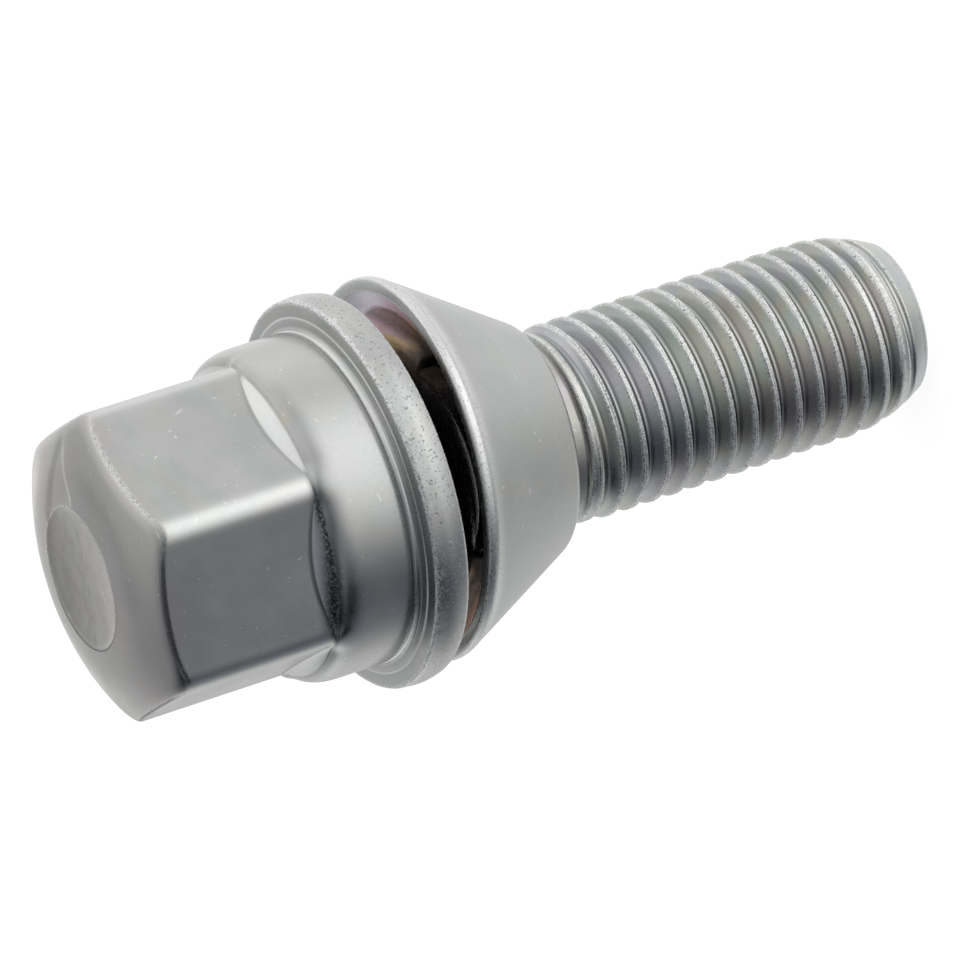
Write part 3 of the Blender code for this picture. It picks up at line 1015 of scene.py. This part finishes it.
    rough = ranged(tree, cloud, 0.3, 0.7, *zinc["roughness"])
    rough = worked(tree, "ADD", rough, ranged(tree, grain, 0.3, 0.7, -0.02, 0.03))
    rough = worked(tree, "ADD", rough, worked(tree, "MULTIPLY", rub, 0.2))
    tree.links.new(rough, shader.inputs["Roughness"])

    surface = bumped(tree, dimple, 0.010 * mm, 0.3)
    surface = bumped(tree, grain, 0.002 * mm, 0.1, surface)
    marks = worked(tree, "SUBTRACT", 1.0, worked(tree, "MAXIMUM", pit, chip))
    surface = bumped(tree, marks, 0.02 * mm, 0.6, surface)
    worn = worked(tree, "MAXIMUM", edge, markOf(tree, "chipped"))
    surface = bumped(tree, grit, 0.04 * mm, worked(tree, "MULTIPLY", worn, 0.25), surface)
    surface = bumped(tree, worked(tree, "SUBTRACT", 1.0, tick), 0.006 * mm, 0.5, surface)
    tree.links.new(surface, shader.inputs["Normal"])
    shader.inputs["Metallic"].default_value = 1.0
    return material


# camera: the photograph's view, with the bolt's axis rising to the right

view = {
    "axisTurn": math.radians(66),      # between the line of sight and the bolt's axis
    "azimuth": math.radians(-95.8),
    "roll": math.radians(18),
    "distance": 500 * mm,              # to the middle of the flange's front face
    "pixelsPerMm": 17.03,              # at 22 mm from the flange towards the tip
    "scaleAt": 22 * mm,
    "flangePixel": (336.2, 496.3),     # the middle of the flange's front face in the picture
    "pictureSize": 960,
    "sensor": 36.0,
}


def makeCamera():
    down = Vector((0, 0, -1))
    towards = Vector((math.cos(view["azimuth"]), math.sin(view["azimuth"]), 0))
    look = math.cos(view["axisTurn"]) * down - math.sin(view["axisTurn"]) * towards
    along = math.sin(view["axisTurn"]) * down + math.cos(view["axisTurn"]) * towards
    across = down.cross(towards)
    right = math.cos(view["roll"]) * along + math.sin(view["roll"]) * across
    below = math.cos(view["roll"]) * across - math.sin(view["roll"]) * along
    farther = view["distance"] + view["scaleAt"] * math.cos(view["axisTurn"])
    focal = view["pixelsPerMm"] / mm * farther
    scale = focal / view["distance"]
    middle = view["pictureSize"] / 2
    spot = Vector((0, 0, zFlange)) - look * view["distance"]
    spot += right * (middle - view["flangePixel"][0]) / scale
    spot += below * (middle - view["flangePixel"][1]) / scale
    data = bpy.data.cameras.new("camera")
    data.sensor_width = view["sensor"]
    data.lens = focal / view["pictureSize"] * view["sensor"]
    data.clip_end = 10
    camera = bpy.data.objects.new("camera", data)
    bpy.context.scene.collection.objects.link(camera)
    turn = Matrix((right, -below, -look)).transposed().to_4x4()
    camera.matrix_world = Matrix.Translation(spot) @ turn
    bpy.context.scene.camera = camera


studio = {
    "even": 0.78,
    "white": 1.0,                # what the camera sees of the backdrop
    "tightness": 9,              # how quickly a lamp or a flag fades out round its direction
    # soft lamps: direction and the light added; fitted to the photo's tones, then rounded
    "lamps": [
        (-0.75, 0.66, 0.03, 0.80),
        (0.44, -0.73, -0.52, 0.70),
        (-0.03, -0.91, -0.41, 0.50),
        (0.09, 0.24, -0.97, 0.45),
        (0.93, 0.22, -0.28, 0.40),
        (0.40, 0.89, -0.21, 0.35),
        (0.32, 0.09, 0.94, 0.25),
        (0.87, 0.13, 0.48, 0.20),
        (0.40, -0.59, 0.70, 0.15),
        (-0.55, 0.41, -0.72, 0.05),
        (-0.42, 0.44, 0.79, 0.05),
    ],
    # dark flags: direction and the light taken away, found in the same way
    "flags": [
        (-0.72, 0.48, 0.50, 0.70),
        (-0.84, 0.47, -0.26, 0.60),
        (-0.98, -0.19, 0.10, 0.60),
        (-0.25, -0.73, 0.63, 0.50),
        (-0.51, -0.06, 0.86, 0.50),
        (-0.73, -0.20, -0.66, 0.45),
        (0.11, 0.68, 0.72, 0.35),
        (-0.73, -0.69, -0.01, 0.35),
        (0.10, -0.99, 0.06, 0.30),
        (-0.29, -0.15, -0.94, 0.25),
        (0.05, -0.14, 0.99, 0.25),
        (-0.14, 0.94, -0.32, 0.20),
        (-0.91, 0.36, 0.21, 0.15),
        (0.83, 0.55, -0.10, 0.15),
        (0.40, -0.43, -0.81, 0.15),
        (-0.56, 0.77, 0.32, 0.10),
        (0.85, -0.52, 0.12, 0.10),
        (0.27, 0.93, 0.26, 0.05),
        (0.74, 0.36, -0.57, 0.05),
    ],
    "darkest": 0.02,
    "shade": [                   # the dim parts of the studio are a little blue
        (0.0, (0.84, 0.92, 1.10, 1)),
        (0.5, (0.99, 1.0, 0.995, 1)),
        (1.0, (1, 1, 1, 1)),
    ],
    "floorHalf": 1.5,
    "floorColour": (0.40, 0.40, 0.40, 1),
    "floorGlow": 0.87,
}


def makeFloor():
    form = bmesh.new()
    bmesh.ops.create_grid(form, x_segments=1, y_segments=1, size=studio["floorHalf"])
    mesh = bpy.data.meshes.new("floor")
    form.to_mesh(mesh)
    form.free()
    floor = bpy.data.objects.new("floor", mesh)
    bpy.context.scene.collection.objects.link(floor)
    floor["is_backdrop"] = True
    material = bpy.data.materials.new("floor_white")
    material.use_nodes = True
    tree = material.node_tree
    tree.nodes.remove(tree.nodes["Principled BSDF"])
    camera = addNode(tree, "LightPath").outputs["Is Camera Ray"]
    seen = worked(tree, "MULTIPLY", camera, studio["floorGlow"])
    glow = addNode(tree, "Emission", {"Strength": seen})
    matt = addNode(tree, "BsdfDiffuse", {"Color": studio["floorColour"]})
    both = addNode(tree, "AddShader", {0: glow.outputs[0], 1: matt.outputs[0]})
    tree.links.new(both.outputs[0], tree.nodes["Material Output"].inputs["Surface"])
    mesh.materials.append(material)
    floor.visible_glossy = False


def softPanel(tree, direction, x, y, z, strength):
    # a round patch of light that fades out smoothly round its direction
    aim = Vector((x, y, z)).normalized()
    facing = addNode(
        tree, "VectorMath", {0: direction, 1: aim}, operation="DOT_PRODUCT"
    ).outputs["Value"]
    slope = worked(tree, "MULTIPLY", worked(tree, "SUBTRACT", facing, 1.0), studio["tightness"])
    spread = addNode(tree, "Math", {0: slope}, operation="EXPONENT").outputs[0]
    return worked(tree, "MULTIPLY", spread, strength)


def makeWorld():
    world = bpy.data.worlds.new("studio")
    bpy.context.scene.world = world
    world.use_nodes = True
    tree = world.node_tree
    background = tree.nodes["Background"]
    direction = addNode(tree, "TexCoord").outputs["Generated"]
    light = addNode(tree, "Value").outputs[0]
    light.default_value = studio["even"]
    for lamp in studio["lamps"]:
        light = worked(tree, "ADD", light, softPanel(tree, direction, *lamp))
    for flag in studio["flags"]:
        light = worked(tree, "SUBTRACT", light, softPanel(tree, direction, *flag))
    light = worked(tree, "MAXIMUM", light, studio["darkest"])
    camera = addNode(tree, "LightPath").outputs["Is Camera Ray"]
    seen = addNode(tree, "Mix", {0: camera, 2: light, 3: studio["white"]}).outputs[0]
    tree.links.new(seen, background.inputs["Strength"])
    shade = colourRamp(tree, seen, studio["shade"])
    tree.links.new(shade, background.inputs["Color"])


makeCamera()
makeFloor()
makeWorld()
makeBolt(zincPlate("zinc_bolt", True))
makeWasher(zincPlate("zinc_washer", False))
bpy.context.scene.view_settings.view_transform = "Standard"
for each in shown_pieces():
    print(each.name, len(each.data.vertices), "points")
